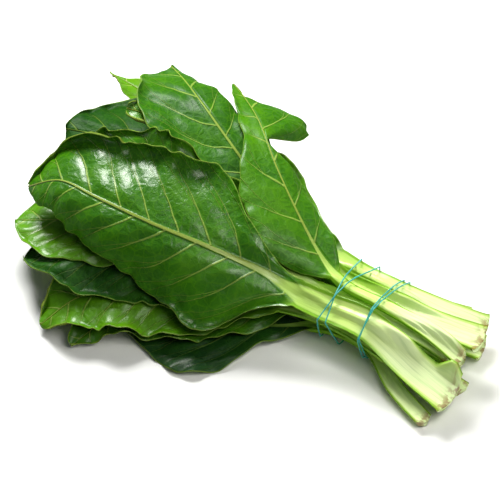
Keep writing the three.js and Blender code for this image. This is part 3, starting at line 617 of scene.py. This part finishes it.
def browningGroup():   # dried brown patches over a cut or bruised colour
    tree, n, given, result = newGroup(
        "browning", [("Colour", "Color"), ("Brown", "Color"), ("Place", "Vector"), ("Size", "Float"),
                     ("Low", "Float"), ("High", "Float"), ("Amount", "Float")], "Colour", "Color")
    patch = n.noise(given["Place"], given["Size"], 3)
    share = n.math("MULTIPLY", n.ramp(patch, given["Low"], given["High"]), given["Amount"])
    n.put(result["Colour"], n.blend(share, given["Colour"], given["Brown"]))
    return tree


def grainGroup():   # fine uneven height
    tree, n, given, result = newGroup(
        "fineGrain", [("Place", "Vector"), ("Size", "Float"), ("Depth", "Float")], "Height", "Float")
    n.put(result["Height"], n.math("MULTIPLY", n.noise(given["Place"], given["Size"], 3), given["Depth"]))
    return tree


browning, fineGrain = browningGroup(), grainGroup()

leafLook = {
    "deep": (0.004, 0.030, 0.006, 1), "green": (0.030, 0.150, 0.003, 1), "bright": (0.100, 0.290, 0.004, 1),
    "yellow": (0.210, 0.330, 0.007, 1), "under": (0.100, 0.170, 0.014, 1), "olive": (0.140, 0.150, 0.010, 1),
    "vein": (0.300, 0.450, 0.070, 1), "rib": (0.250, 0.320, 0.040, 1), "stalkGreen": (0.200, 0.430, 0.020, 1),
    "stalkPale": (0.600, 0.800, 0.210, 1), "stalkWhite": (0.760, 0.900, 0.460, 1),
    "brown": (0.240, 0.110, 0.030, 1), "roughness": 0.36, "ior": 1.38, "coatRoughness": 0.2, "glow": 0.10,
    "netSize": 125, "meshSize": 420, "veinWide": 0.0010, "veinFine": 0.0003, "forkWide": 0.0005,
    "netHeight": 0.00034, "meshHeight": 0.00010, "veinDepth": 0.0007,
    "ridgeTop": 0.00035, "ridgeUnder": 0.0009,
}


def leafMaterial():
    look = leafLook
    material, tree = newMaterial("leafSkin")
    n = Nodes(tree)
    along, across, part = n.mark("along"), n.mark("across"), n.mark("part")
    fromRib, inBlade, down = n.mark("fromRib"), n.mark("inBlade"), n.mark("down")
    vein, margin, under = n.mark("vein"), n.mark("margin"), n.mark("under")
    tint, dark, grain, spacing = n.mark("tint"), n.mark("dark"), n.mark("grain"), n.mark("spacing")
    gloss = n.mark("gloss")
    skin = n.place(along, across, grain)
    wobble = n.noise(skin, 90, 2)
    bent = n.place(n.math("ADD", along, n.math("MULTIPLY", wobble, 0.006)),
                   n.math("SUBTRACT", across, n.math("MULTIPLY", wobble, 0.006)), grain)

    isStalk = n.ramp(inBlade, 0.0, 0.05, 1, 0)
    onRib = n.math("MAXIMUM", n.ramp(fromRib, 0.55, 0.95, 1, 0), isStalk)

    # Side veins, each forked towards the margin, and the fine net between them.
    waver = n.math("MULTIPLY", n.math("SUBTRACT", n.noise(skin, 60, 2), 0.5), 0.10)
    fromVein = n.math("MULTIPLY", n.math("PINGPONG", n.math("ADD", vein, waver), 0.5), spacing)
    veinWidth = n.ramp(part, 0.05, 0.95, look["veinWide"], look["veinFine"])
    sideVein = n.ramp(n.math("DIVIDE", fromVein, veinWidth), 0.5, 1.6, 1, 0)
    parted = n.math("SUBTRACT", n.math("ADD", vein, waver), n.ramp(part, 0.3, 1.0, 0, 0.5))
    forked = n.math("MULTIPLY", n.math("PINGPONG", parted, 0.5), spacing)
    forkLine = n.ramp(n.math("DIVIDE", forked, look["forkWide"]), 0.4, 1.5, 1, 0)
    fork = n.math("MULTIPLY", forkLine, n.ramp(part, 0.3, 0.45, 0, 0.8))
    net = n.cells(bent, look["netSize"])
    netLine = n.ramp(net, 0.01, 0.09, 1, 0)
    mesh = n.cells(bent, look["meshSize"])
    meshLine = n.ramp(mesh, 0.02, 0.16, 1, 0)
    veins = n.math("MAXIMUM", sideVein, fork)

    # Blade colours, top side.
    patch = n.noise(skin, 22, 4)
    uneven = n.math("MULTIPLY", n.math("SUBTRACT", patch, 0.5), 0.9)
    age = n.math("ADD", n.math("MULTIPLY", tint, 0.9), uneven)
    top = n.blend(n.ramp(age, -0.15, 0.35), look["deep"], look["green"])
    top = n.blend(n.ramp(age, 0.25, 0.8), top, look["bright"])
    top = n.blend(n.ramp(age, 0.75, 1.25), top, look["yellow"])
    # Painted shade: the higher a leaf's dark value, the more its green is darkened towards deep green and the
    # fainter its pale net, for leaves lying in shade under the others.
    top = n.blend(n.math("MULTIPLY", dark, 0.7), top, look["deep"])
    top = n.blend(n.math("MULTIPLY", netLine, n.ramp(dark, 0, 1, 0.26, 0.05)), top, look["bright"])
    top = n.blend(n.math("MULTIPLY", meshLine, n.ramp(dark, 0, 1, 0.12, 0.03)), top, look["bright"])
    bottom = n.blend(n.math("MULTIPLY", netLine, 0.35), look["under"], look["vein"])
    bottom = n.blend(n.math("MULTIPLY", tint, 0.5), bottom, look["olive"])
    blade = n.blend(under, top, bottom)
    # Painted shade also dims the side veins of leaves with a high dark value.
    veinShade = n.math("MULTIPLY", veins, n.ramp(dark, 0, 1, 0.78, 0.22))
    veinShade = n.math("MULTIPLY", veinShade, n.ramp(part, 0.1, 1, 1, 0.5))
    blade = n.blend(veinShade, blade, look["vein"])
    blade = n.blend(n.ramp(margin, 0.0002, 0.0011, 0.45, 0), blade, look["vein"])

    # Stalk and rib: green at the blade, paler towards the cut end, with long streaks.
    streak = n.noise(n.place(n.math("MULTIPLY", along, 0.05), across, grain), 420, 3)
    broad = n.noise(n.place(n.math("MULTIPLY", along, 0.25), across, grain), 60, 2)
    paleness = n.math("ADD", n.ramp(down, 0.25, 1.0, 1.0, 0.30),
                      n.math("MULTIPLY", n.math("SUBTRACT", broad, 0.5), 0.5))
    paleness = n.math("SUBTRACT", paleness, n.ramp(fromRib, 0.68, 1.0, 0, 0.95))
    stalk = n.blend(n.ramp(paleness, 0.0, 0.5), look["stalkGreen"], look["stalkPale"])
    stalk = n.blend(n.ramp(paleness, 0.45, 1.05), stalk, look["stalkWhite"])
    stalk = n.blend(n.math("MULTIPLY", n.ramp(streak, 0.45, 0.7), 0.30), stalk, look["stalkGreen"])
    ribShade = n.ramp(inBlade, 0.0, 0.25, 0.0, 0.85)
    # Painted shade: on leaves with a high dark value the rib is coloured leaf green instead of pale.
    ribColour = n.blend(n.math("MULTIPLY", dark, 0.75), look["rib"], look["green"])
    stalk = n.blend(ribShade, stalk, ribColour)
    stalk = n.effect(browning, "Colour", Colour=stalk, Brown=look["brown"], Place=skin, Size=150,
                     Low=0.42, High=0.60, Amount=n.ramp(along, 0.001, 0.014, 0.8, 0))
    colour = n.blend(onRib, blade, stalk)

    # Height: the skin swells between the veins; ribs run along the stalk.
    swell = n.math("ADD", n.math("MULTIPLY", n.ramp(net, 0.0, 0.4), look["netHeight"]),
                   n.math("MULTIPLY", n.ramp(mesh, 0, 0.4), look["meshHeight"]))
    swell = n.math("SUBTRACT", swell, n.math("MULTIPLY", veins, look["veinDepth"]))
    swell = n.math("MULTIPLY", swell, n.ramp(under, 0, 1, 1, -0.8))
    ridges = n.math("MULTIPLY", streak, n.ramp(under, 0, 1, look["ridgeTop"], look["ridgeUnder"]))
    height = n.add("Mix", data_type="FLOAT")
    n.put(height.inputs[0], onRib)
    n.put(height.inputs[2], swell)
    n.put(height.inputs[3], ridges)
    bump = n.add("Bump")
    n.put(bump.inputs["Strength"], 1.0)
    n.put(bump.inputs["Distance"], 1.0)
    n.put(bump.inputs["Height"], height.outputs[0])

    rough = n.math("ADD", n.ramp(under, 0, 1, look["roughness"], 0.5),
                   n.math("MULTIPLY", n.math("SUBTRACT", patch, 0.5), 0.16))
    rough = n.math("ADD", rough, n.ramp(gloss, 0, 1, 0.14, -0.02))
    facing = n.add("LayerWeight").outputs["Facing"]
    n.put(facing.node.inputs["Blend"], 0.5)
    shader = n.add("BsdfPrincipled")
    n.put(shader.inputs["Base Color"], colour)
    n.put(shader.inputs["Roughness"], rough)
    n.put(shader.inputs["Normal"], bump.outputs[0])
    shader.inputs["IOR"].default_value = look["ior"]
    # The shine fades where the skin is seen at a low angle.
    shine = n.ramp(gloss, 0, 1, 0.12, 0.50)
    n.put(shader.inputs["Specular IOR Level"], n.ramp(facing, 0.27, 0.55, shine, 0.02))
    n.put(shader.inputs["Coat Weight"], n.ramp(facing, 0.27, 0.55, n.math("MULTIPLY", gloss, 0.36), 0.0))
    shader.inputs["Coat Roughness"].default_value = look["coatRoughness"]
    glow = n.add("BsdfTranslucent")
    n.put(glow.inputs["Color"], colour)
    both = n.add("MixShader")
    n.put(both.inputs[0], look["glow"])
    n.put(both.inputs[1], shader.outputs[0])
    n.put(both.inputs[2], glow.outputs[0])
    out = n.add("OutputMaterial")
    n.put(out.inputs["Surface"], both.outputs[0])
    return material


cutLook = {"dots": 420, "patches": 130, "brownPatches": 70, "grain": 500, "depth": 0.0006, "roughness": 0.45}


def cutMaterial():
    look = leafLook
    material, tree = newMaterial("cutFlesh")
    n = Nodes(tree)
    where = n.add("TexCoord").outputs["Object"]
    dots = n.ramp(n.cells(where, cutLook["dots"], "F1"), 0.12, 0.28, 1, 0)
    patch = n.noise(where, cutLook["patches"], 4)
    colour = n.blend(n.ramp(patch, 0.4, 0.7), look["stalkWhite"], look["stalkPale"])
    colour = n.blend(n.math("MULTIPLY", dots, 0.4), colour, look["stalkGreen"])
    colour = n.effect(browning, "Colour", Colour=colour, Brown=look["brown"], Place=where,
                      Size=cutLook["brownPatches"], Low=0.50, High=0.62, Amount=0.85)
    bump = n.add("Bump")
    n.put(bump.inputs["Distance"], 1.0)
    n.put(bump.inputs["Height"], n.effect(fineGrain, "Height", Place=where, Size=cutLook["grain"],
                                       Depth=cutLook["depth"]))
    shader = n.add("BsdfPrincipled")
    n.put(shader.inputs["Base Color"], colour)
    n.put(shader.inputs["Normal"], bump.outputs[0])
    shader.inputs["Roughness"].default_value = cutLook["roughness"]
    out = n.add("OutputMaterial")
    n.put(out.inputs["Surface"], shader.outputs[0])
    return material


bandLook = {
    "dark": (0.010, 0.230, 0.220, 1), "light": (0.045, 0.480, 0.420, 1),
    "patches": 300, "grain": 1500, "depth": 0.0001, "roughness": 0.42,
}


def bandMaterial():
    material, tree = newMaterial("elasticThread")
    n = Nodes(tree)
    where = n.add("TexCoord").outputs["Object"]
    patch = n.noise(where, bandLook["patches"], 2)
    colour = n.blend(patch, bandLook["dark"], bandLook["light"])
    bump = n.add("Bump")
    n.put(bump.inputs["Distance"], 1.0)
    n.put(bump.inputs["Height"], n.effect(fineGrain, "Height", Place=where, Size=bandLook["grain"],
                                       Depth=bandLook["depth"]))
    shader = n.add("BsdfPrincipled")
    n.put(shader.inputs["Base Color"], colour)
    n.put(shader.inputs["Normal"], bump.outputs[0])
    shader.inputs["Roughness"].default_value = bandLook["roughness"]
    out = n.add("OutputMaterial")
    n.put(out.inputs["Surface"], shader.outputs[0])
    return material


leafSkins = [leafMaterial(), cutMaterial()]
laid = [makeLeaf(leaf, leafSkins) for leaf in leaves]   # each leaf's upper and lower skin
print("leaves laid", len(laid))

# loose: gap to the stalks; crossing: share of a turn from where the two turns cross on to the +Y side
bands = [
    {"name": "upper_band", "thick": 1.2, "loose": 0.1, "crossing": 0.7},
    {"name": "lower_band", "thick": 1.2, "loose": 0.1, "crossing": 0.6},
]
winding = {"tangents": 240, "pointsPerTurn": 160, "strandGap": 0.1, "inset": 0.8}


def cutOutline(x):   # where a plane across the bunch cuts the leaves, as points across and up
    points = []
    for upper, lower in laid:
        for skin in (upper, lower):
            s = skin[..., 0] - x
            rows, columns = np.nonzero(s[1:] * s[:-1] < 0)
            a, b = skin[:-1][rows, columns], skin[1:][rows, columns]
            t = ((x - a[:, 0]) / (b[:, 0] - a[:, 0]))[:, None]
            points.append((a + t * (b - a))[:, 1:])
    return np.vstack(points)


def makeBand(band, material):
    low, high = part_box(band["name"])
    x = (low[0] + high[0]) * perMetre / 2
    spread = (high[0] - low[0]) * perMetre / 2 - winding["inset"]
    outline = np.vstack([cutOutline(x + side * spread) for side in (-1, -0.5, 0, 0.5, 1)])
    middle = (outline.min(0) + outline.max(0)) / 2
    angles = np.arange(winding["tangents"]) * 2 * np.pi / winding["tangents"]
    ways = np.stack([np.cos(angles), np.sin(angles)], 1)
    reach = ((outline - middle) @ ways.T).max(0)
    step = 2 * np.pi / winding["tangents"]
    slide = (np.roll(reach, -1) - reach * np.cos(step)) / np.sin(step)
    taut = middle + ways * reach[:, None] + np.stack([-ways[:, 1], ways[:, 0]], 1) * slide[:, None]
    gone = np.linalg.norm(np.diff(np.vstack([taut, taut[:1]]), axis=0), axis=1)
    length = np.concatenate([[0], np.cumsum(gone)])
    loop = np.vstack([taut, taut[:1]])
    half = band["thick"] / 2
    path = []
    for i in range(2 * winding["pointsPerTurn"]):
        around = i / winding["pointsPerTurn"]
        place = (around % 1) * length[-1]
        p = np.array([np.interp(place, length, loop[:, k]) for k in (0, 1)])
        turn = math.pi * (around + band["crossing"])
        away = (p - middle) / np.linalg.norm(p - middle)
        p = p + away * (half + band["loose"] + (half + winding["strandGap"]) * (1 - math.cos(turn)))
        path.append((x + spread * math.sin(turn), p[0], p[1]))
    deselectAll()
    bpy.ops.curve.primitive_nurbs_circle_add(radius=0.03)
    piece = bpy.context.object
    piece.name = band["name"] + "_elastic"
    curve = piece.data
    curve.splines.clear()
    spline = curve.splines.new("POLY")
    spline.points.add(len(path) - 1)
    spline.points.foreach_set("co", [v for p in path for v in (*(c / perMetre for c in p), 1)])
    spline.use_cyclic_u = True
    curve.dimensions = "3D"
    curve.bevel_depth = half / perMetre
    curve.bevel_resolution = 3
    bpy.ops.object.convert(target="MESH")
    piece = bpy.context.object
    piece.data.materials.clear()
    piece.data.materials.append(material)
    bpy.ops.object.shade_smooth()
    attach(piece, "root")
    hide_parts(band["name"])
    print(band["name"], "made")


elastic = bandMaterial()
for band in bands:
    makeBand(band, elastic)

deselectAll()
bpy.ops.mesh.primitive_plane_add(size=6, location=(0, 0, -0.0002))
floor = bpy.context.object
floor.name = "floor"
paper, tree = newMaterial("palePaper")
n = Nodes(tree)
shader = n.add("BsdfPrincipled")
shader.inputs["Base Color"].default_value = (0.90, 0.90, 0.90, 1)
shader.inputs["Roughness"].default_value = 0.8
out = n.add("OutputMaterial")
n.put(out.inputs["Surface"], shader.outputs[0])
floor.data.materials.append(paper)

world = bpy.data.worlds.new("studio")
bpy.context.scene.world = world
world.use_nodes = True
world.node_tree.nodes["Background"].inputs[0].default_value = (0.80, 0.92, 1.0, 1)
world.node_tree.nodes["Background"].inputs[1].default_value = 0.08


def areaLight(name, where, target, size, power, colour, spread=180):
    deselectAll()
    bpy.ops.object.light_add(type="AREA", location=where)
    light = bpy.context.object
    light.name = name
    light.data.shape = "RECTANGLE"
    light.data.size, light.data.size_y = size
    light.data.energy = power
    light.data.color = colour
    light.data.spread = math.radians(spread)
    light.rotation_euler = (Vector(target) - Vector(where)).to_track_quat("-Z", "Y").to_euler()


# A narrow spread gathers a light's power, so stalkLight needs little of it.
areaLight("keyWindow", (-0.80, 0.70, 1.10), (-0.03, 0.0, 0.05), (0.70, 0.55), 44, (1.0, 1.0, 0.97))
areaLight("sideFill", (0.80, -0.10, 1.30), (0.05, 0, 0.05), (0.9, 0.9), 10, (1.0, 0.98, 0.90))
areaLight("stalkLight", (0.55, 0.10, 1.00), (0.21, 0.0, 0.04), (0.25, 0.25), 0.12, (1.0, 0.99, 0.92), 34)
print("lights set")

cameraFacts = {
    "azimuth": 32.0, "elevation": 50.0, "distance": 4.5, "lens": 370.0, "target": (-0.0213, 0.0365, 0.0),
}
a, e = math.radians(cameraFacts["azimuth"]), math.radians(cameraFacts["elevation"])
back = Vector((math.sin(a) * math.cos(e), -math.cos(a) * math.cos(e), math.sin(e)))
deselectAll()
bpy.ops.object.camera_add(location=Vector(cameraFacts["target"]) + back * cameraFacts["distance"])
camera = bpy.context.object
camera.rotation_euler = (-back).to_track_quat("-Z", "Y").to_euler()
camera.data.lens = cameraFacts["lens"]
bpy.context.scene.camera = camera
bpy.context.scene.view_settings.view_transform = "Standard"
